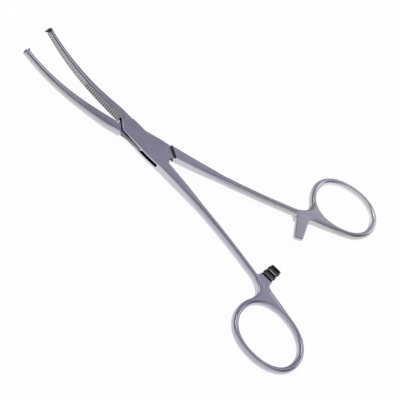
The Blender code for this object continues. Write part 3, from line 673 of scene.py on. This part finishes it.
def ratchet_arm(tip_width, slant, notch_depth):
    """The lower arm: a domed bar whose sides flare into the neck's edge, with its upper half milled to a
    sawtooth comb. Along the outline it goes from the jaw side round the tip to the ring side. Its end is
    tip_width wide and cut at a slant, and small V notches mark the teeth on both of its sides."""
    tip = RATCHET_X * np.tan(TOE_IN) + RATCHET_REACH
    right_root = RATCHET_X - RATCHET_LEAN * ARM_LENGTH
    left_root = right_root - RATCHET_WIDTH
    centre = (left_root + right_root) / 2
    foot = neck_line(np.array([centre]))[1][0]
    ends = np.array([left_root - RATCHET_FLARE[0], right_root + RATCHET_FLARE[1]])
    edge_left, edge_right = neck_line(ends)[0]
    corner_left, corner_right = (neck_line(np.array([x]))[0][0] for x in (left_root, right_root))
    tip_left = np.array([RATCHET_X - tip_width, tip + slant * tip_width])
    tip_right = np.array([RATCHET_X, tip])
    t = np.linspace(0, 1, 17)

    def flare(end, corner, top, size):
        """The curve from the neck's edge into one side of the arm."""
        side = corner + (top - corner) / np.linalg.norm(top - corner) * size
        return bezier([end, lerp(end, corner, FLARE_PULL), lerp(side, corner, FLARE_PULL), side], t)

    def rounded(before, corner, after):
        """The corner between two sides, as a curve that starts and ends a corner's size from it."""
        a, b = (corner + (p - corner) / np.linalg.norm(p - corner) * RATCHET_CORNER for p in (before, after))
        return bezier([a, lerp(a, corner, CORNER_PULL), lerp(b, corner, CORNER_PULL), b],
                      np.linspace(0, 1, 7))

    left = flare(edge_left, corner_left, tip_left, RATCHET_FLARE[0])
    right = flare(edge_right, corner_right, tip_right, RATCHET_FLARE[1])[::-1]
    round_left = rounded(left[-1], tip_left, tip_right)
    round_right = rounded(tip_left, tip_right, right[0])
    crown = (tip_left + tip_right) / 2 - np.array([0.0, tip_width / 2])
    inner = np.linspace(0, 1, 9)[:, None]
    edge = np.concatenate([left, lerp(left[-1], round_left[0], inner)[1:-1], round_left,
                           round_right, lerp(round_right[-1], right[0], inner)[1:-1], right])
    bar = lerp(foot, crown, inner)[1:-1]
    crowns = np.repeat(crown[None], len(round_left), 0)
    flare_left = neck_line(lerp(ends[0], centre, t))[1]
    flare_right = neck_line(lerp(centre, ends[1], t))[1]
    middle = np.concatenate([flare_left, bar, crowns, crowns, bar[::-1], flare_right])
    edge[[0, -1]] = lerp(edge[[0, -1]], middle[[0, -1]], SUNK)
    half = np.full(len(edge), RING_HEIGHT / 2 - SUNK)
    dome_points, faces = dome(edge, middle, half, np.full(len(edge), ARM_POWER), False)
    size = 2 * DOME_STEPS + 1
    faces += [list(range(size)), list(range(len(dome_points) - 1, len(dome_points) - size - 1, -1))]
    line = np.concatenate([flare_left, flare_right[1:]])
    wall = np.stack([np.insert(line, 2, MIDDLE - half[0], 1), np.insert(line, 2, MIDDLE + half[0], 1)], 1)
    arm = paint(solid((dome_points, faces), surface(wall, closed_v=False, caps=False)), satin)

    low, high = MIDDLE - RATCHET_GAP - RATCHET_DEPTH / 2, MIDDLE - RATCHET_GAP + RATCHET_DEPTH / 2
    steep = RATCHET_X * np.tan(TOE_IN) + RATCHET_GAP / 2
    last = steep - RATCHET_TEETH * RATCHET_PITCH
    sides = (left_root - OVERRUN, right_root + OVERRUN)
    beyond = tip + 2 * OVERRUN
    room = slab([(sides[0], last), (sides[1], last), (sides[1], beyond), (sides[0], beyond)],
                [0] * 4, low, LOCK_THICKNESS + OVERRUN)
    # The room's floor, which becomes the comb's floor, takes the painted shade; its walls stay satin.
    room = paint(paint(room, satin), ratchet_shade_steel, lambda centre, normal: np.abs(normal[:, 2]) > 0.5)

    def side(y, corner, top):
        """The arm's side at y, on the straight line from its root to its tip."""
        return lerp(corner[0], top[0], (y - corner[1]) / (top[1] - corner[1]))

    teeth = []
    for i in range(-1, RATCHET_TEETH):
        y0, y1 = steep - (i + 1) * RATCHET_PITCH, steep - i * RATCHET_PITCH
        if i < 0:
            y1 = steep + RATCHET_LEAD
        y = (y0 + y1) / 2
        x0 = side(y, corner_left, tip_left) + TOOTH_MARGIN
        x1 = side(y, corner_right, tip_right) - TOOTH_MARGIN
        along = np.concatenate([x0 + TOOTH_END * (1 - np.cos(t[::2] * np.pi / 2)),
                                x1 - TOOTH_END * (1 - np.cos(t[::-2] * np.pi / 2))])
        swell = np.sqrt(1 - (1 - np.clip(np.minimum(along - x0, x1 - along) / TOOTH_END, 0, 1)) ** 2)
        swell = np.maximum(swell, 0.02)
        ramp = np.linspace(0, 1, 9)
        ys = np.concatenate([lerp(y1, y0 + TOOTH_CHAMFER, ramp), [y0, y0, y1]])
        zs = np.concatenate([lerp(low, high, np.sin(ramp * np.pi / 2)),
                             [high - TOOTH_CHAMFER, low - 0.1, low - 0.1]])
        z = np.where(zs > low, low + (zs - low) * swell[:, None], zs)
        rows = np.stack([*np.meshgrid(along, ys, indexing="ij"), z], -1)
        # Each tooth is painted dark as painted shade. Its crest chamfer keeps the satin steel, except on the
        # tip tooth.
        tooth = paint(solid(surface(rows)), ratchet_shade_steel)
        crest = ratchet_shade_steel if i < 0 else satin
        teeth.append(paint(tooth, crest, lambda centre, normal: (normal[:, 1] < -0.4) & (normal[:, 2] > 0.2)))
    notches = []
    for i in range(RATCHET_TEETH):
        y = steep - i * RATCHET_PITCH
        for x, out in ((side(y, corner_left, tip_left), -1), (side(y, corner_right, tip_right), 1)):
            spread = NOTCH[1] * (1 + 1 / NOTCH[0])
            wedge = [(x - out * NOTCH[0], y), (x + out, y + spread), (x + out, y - spread)]
            cut = slab(wedge[::out], [NOTCH_RADIUS] * 3, low - notch_depth, LOCK_THICKNESS)
            notches.append(paint(cut, satin))
    return joined(joined(joined(arm, "DIFFERENCE", room), "UNION", *teeth), "DIFFERENCE", *notches)


arm = ratchet_arm(tip_width=5.0, slant=0.02, notch_depth=3.0)

# ---- Mortise half: box lock ----
# The middle of the forging is milled through with a slot, which leaves two cheeks. The other half's web
# passes between them, and its shoulders stop against theirs when the jaws close.

WEB_THICKNESS = 1.6
WEB_MIDDLE = 2.8
SLOT_GAPS = (0.06, 0.4)
SLOT_END = 1.0
SHOULDER_SLOPE = np.radians(45)
SHOULDER_GAP = 0.35
LOCK_CORNER = 3.7
LOCK_WAIST = (2.9, 3.3)
LOCK_TAIL = 5.2
LOCK_BELLY = (6.8, 4.5)
LOCK_RADII = [0.2, 0.5, 30.0, 0.3, 0.3, 0.5]
WAIST_RADIUS = 14.0
ROOT_RADIUS = 0.8
LOCK_EDGES = (0.8, 0.45)
PIN_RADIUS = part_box("lock_pin")[1].x / MM
PIN_GAP = 0.02
# Near-black steel that paints the shade in the slot, in the bore and in the gaps at the shoulders.
shadowed = steel("crevice_shade_steel", (0.035, 0.035, 0.04, 1.0), 0.5, 0.3)


def shoulder(x, y, lean):
    """The point at y on a shoulder that crosses the centre plane at x and leans to +X or -X."""
    return x + lean * abs(y) / np.tan(SHOULDER_SLOPE), y


def lock_block(inset, side, radius, tail):
    """The lock as one solid plate, with its free sides moved in by `inset`, its tail's reach from the centre
    plane, and points of its own along the jaw's side, rounded by a radius."""
    joint = REAR_SHOULDER - SHOULDER_GAP
    outer = -shank_centre(joint) - shank_width(joint) / 2
    data = slab([
        (-FRONT_SHOULDER, SHUT_GAP / 2),
        shoulder(-FRONT_SHOULDER, -LOCK_CORNER + inset, 1),
        (LOCK_BELLY[0], -LOCK_BELLY[1] + inset),
        (joint, outer + inset),
        (REAR_SHOULDER, -SHUT_GAP / 2),
        shoulder(REAR_SHOULDER, tail, -1),
        *side,
        (-FRONT_SHOULDER + INSIDE_LOCK, LOCK_BACK - inset),
    ], LOCK_RADII + [radius] * len(side) + [ROOT_RADIUS], 0.0, LOCK_THICKNESS, LOCK_EDGES)
    data = paint(data, satin)
    # Painted shade: the shoulder faces are near black.
    return paint(data, shadowed, lambda centre, normal: np.abs(normal @ (0.707, 0.707, 0)) > 0.9)


def pocket(low, high, floor, wall, longer=0.0):
    """The space between one half's shoulders, open to both sides, between two heights. On the shank's side
    it may run longer to the rear."""
    front, rear, far = -FRONT_SHOULDER - SHOULDER_GAP, REAR_SHOULDER + SHOULDER_GAP, 2 * LOCK_TAIL
    corners = [(front, 0.0), (front, -far), shoulder(rear + longer, -far, -1), (rear + longer, 0.0),
               (rear, 0.0), (rear, far), shoulder(front, far, 1)]
    if not longer:
        corners.pop(3)
    data = paint(slab(corners, [0] * len(corners), low, high), floor)
    data = paint(data, wall, lambda centre, normal: np.abs(normal[:, 2]) < 0.5)
    # Painted shade: the walls on the rear shoulder's side are near black.
    return paint(data, shadowed, lambda centre, normal: (np.abs(normal[:, 2]) < 0.5) & (centre[:, 0] > 0))


def bore():
    """The pin's hole, a circle a running gap wider than the pin, drawn out past both faces."""
    turn = np.linspace(0, 2 * np.pi, 97)[:-1]
    circle = (PIN_RADIUS + PIN_GAP) * np.stack([np.cos(turn), np.sin(turn)], -1)
    ends = np.stack([np.insert(circle, 2, z, 1) for z in (-OVERRUN, LOCK_THICKNESS + OVERRUN)])
    # Painted shade: the gap round the pin is near black, which draws the faint circle.
    return paint(solid(surface(ends)), shadowed)


low, high = WEB_MIDDLE - WEB_THICKNESS / 2, WEB_MIDDLE + WEB_THICKNESS / 2
plate = lock_block(0.0, [LOCK_WAIST], WAIST_RADIUS, LOCK_TAIL)
# The slot is painted near black throughout, as painted shade.
slot = pocket(low - SLOT_GAPS[0], high + SLOT_GAPS[1], shadowed, shadowed, longer=SLOT_END)

# ---- Mortise half: single tip tooth ----
# One tooth, filed from the jaw's own steel, stands up from the plain end of the mortise jaw. It meshes
# between the tenon jaw's two prongs, and a ledge is cut on both sides of it to make room for them.

TOOTH_START = 0.1
TOOTH_REACH = 1.5
TOOTH_HEIGHT = (0.6, 1.5)
PRONG_REACH = 0.9
TIP_GAP = 0.12


def tip_block(inner, outer, past, finish):
    """A solid across the jaw's plain end, between two outlines of (Y, height on the jaw). It starts and ends
    `past` beyond that end's own length."""
    height, slope = jaw_line(np.array(JAW_LENGTH))[1:]
    rows = []
    for along, outline in ((-TIP_LAND - past, inner), (past, outer)):
        y, z = np.array(outline).T
        rows.append(toed_in(-JAW_LENGTH - along * np.cos(slope) + z * np.sin(slope), y,
                            height + along * np.sin(slope) + z * np.cos(slope)))
    return paint(solid(surface(np.array(rows))), finish)


def tooth_side(y):
    """Half height of the single tooth at y, from its narrow crest to its wide root."""
    bed = PRONG_REACH + TIP_GAP
    return lerp(*TOOTH_HEIGHT, (y + TOOTH_REACH) / (bed + TOOTH_REACH)) / 2


def ledge():
    """What is cut from the mortise jaw's end to make room for the prongs."""
    deep, tall = PRONG_REACH + TIP_GAP, JAW_TIP[1]
    outline = [(-OVERRUN, -tall), (-OVERRUN, tall), (deep, tall), (deep, -tall)]
    return tip_block(outline, outline, TIP_GAP, satin)


def single_tooth():
    """The tooth, which rises from the bite face where the plain end starts to its full reach at the tip."""
    bed = PRONG_REACH + 2 * TIP_GAP
    outlines = []
    for crest in (TOOTH_START, -TOOTH_REACH):
        outlines.append([(crest, -tooth_side(crest)), (crest, tooth_side(crest)),
                         (bed, tooth_side(bed)), (bed, -tooth_side(bed))])
    # The tooth is painted in the dark steel, as painted shade.
    return tip_block(*outlines, -TIP_NOSE / 4, groove_shade)


# ---- Mortise half: the whole forging ----
# Jaw, lock, handle, arm and tooth are one solid of stainless steel. The slot is milled through it for the
# other half's web, and the bore is drilled for the pin that holds the two halves together.

SWING = np.radians(7.5)
SHARP_ANGLE = np.radians(40)


def piece(name, data, body, node, side=1):
    """The finished forging: mirrored for the tenon half, swung to its place, smoothed and given its body."""
    flip = Matrix.Diagonal((1, side, 1, 1))
    swing = Matrix.Rotation(-side * SWING, 4, "Z")
    data.transform(swing @ flip)
    if side < 0:
        data.flip_normals()
    data.shade_smooth()
    data.set_sharp_from_angle(angle=SHARP_ANGLE)
    obj = bpy.data.objects.new(name, data)
    bpy.context.scene.collection.objects.link(obj)
    obj.modifiers.new("weighted", "WEIGHTED_NORMAL").keep_sharp = True
    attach(obj, body)
    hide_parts(node)


half = joined(half, "UNION", plate, grip, arm)
half = joined(half, "DIFFERENCE", slot, ledge(), bore())
half = joined(half, "UNION", single_tooth())
piece("mortise_forging", half, "mortise_body", "mortise_half")

# ---- Tenon half ----
# The other forging, the mirror image outside the lock. In it a thin web is left between two milled pockets
# and passes through the mortise. Its jaw ends in two prongs, and its ratchet arm lies over the other one.

WEB_INSET = 0.1
WEB_BULGE = (2.0, 4.9)
WEB_HOLLOW = (6.0, 3.6)
WEB_FRONT = -4.4
WEB_RADIUS = 3.5
WEB_TAIL = 4.1
SHOULDER_SETBACK = 0.45
PRONG_CREST = 0.3
# Where the painted shade on the web's side wall begins, from the centre plane.
WEB_SIDE_SHADE_START = 2.5
milled = steel("milled_steel", (0.60, 0.59, 0.62, 1.0), 0.5, 0.6)
# Darker steel that paints the shade on the web's side wall on the jaw's side, in front of its bulge.
web_side_shade = steel("web_side_shade_steel", (0.21, 0.205, 0.235, 1.0), 0.36, 0.5)


def prongs():
    """The tenon jaw's two prongs as one block that rises towards the tip, before the single tooth's space
    is cut out of it."""
    bed = SERRATION_DEPTH + TIP_GAP
    inside = tooth_side(PRONG_REACH) + TIP_GAP + PRONG_CREST
    root = JAW_TIP[1] / 2 * BITE_SHARE
    outlines = []
    for crest in (SERRATION_DEPTH, -PRONG_REACH):
        half = lerp(root, inside, (bed - crest) / (bed + PRONG_REACH))
        outlines.append([(crest, -half), (crest, half), (bed, root), (bed, -root)])
    return tip_block(*outlines, -TIP_NOSE / 4, satin)


def notch():
    """What is cut from the tenon jaw's end to make room for the single tooth."""
    deep, shallow = TOOTH_REACH + TIP_GAP, -OVERRUN
    outline = [(deep, -tooth_side(-deep) - TIP_GAP), (deep, tooth_side(-deep) + TIP_GAP),
               (shallow, tooth_side(-shallow) + TIP_GAP), (shallow, -tooth_side(-shallow) - TIP_GAP)]
    # The notch's cut faces take the dark steel, as painted shade.
    return tip_block(outline, outline, TIP_GAP, groove_shade)


def upside_down(data):
    """The mesh mirrored in Z about the middle of the instrument's thickness."""
    data.transform(Matrix.Translation((0, 0, LOCK_THICKNESS * MM)) @ Matrix.Diagonal((1, 1, -1, 1)))
    data.flip_normals()
    return data


web = lock_block(WEB_INSET, [WEB_HOLLOW, WEB_BULGE, (WEB_FRONT, LOCK_BACK - WEB_INSET)],
                 WEB_RADIUS, WEB_TAIL)
# Painted shade: the web's side wall on the jaw's side, in front of its bulge, is darker.
web = paint(web, web_side_shade, lambda centre, normal: (
    (centre[:, 1] > WEB_SIDE_SHADE_START) & (centre[:, 0] < WEB_BULGE[0]) & (np.abs(normal[:, 2]) < 0.6)))
arm = upside_down(ratchet_arm(tip_width=3.8, slant=0.3, notch_depth=0.3))
half = joined(jaw(phase=1, back_power=3.0), "UNION", web, handle(), arm)
half = joined(half, "DIFFERENCE", pocket(-OVERRUN, low, milled, milled),
              pocket(high, LOCK_THICKNESS + OVERRUN, satin, milled, longer=SHOULDER_SETBACK))
half = joined(half, "UNION", prongs())
half = joined(half, "DIFFERENCE", notch(), bore())
piece("tenon_forging", half, "tenon_body", "tenon_half", side=-1)

# ---- Lock pin ----
# A plain steel pin, pressed through both halves and ground flush with the lock, so that only a faint circle
# shows. It is the frame's own solid, in the finish of the plate round it.

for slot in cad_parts["lock_pin"].material_slots:
    slot.material = satin
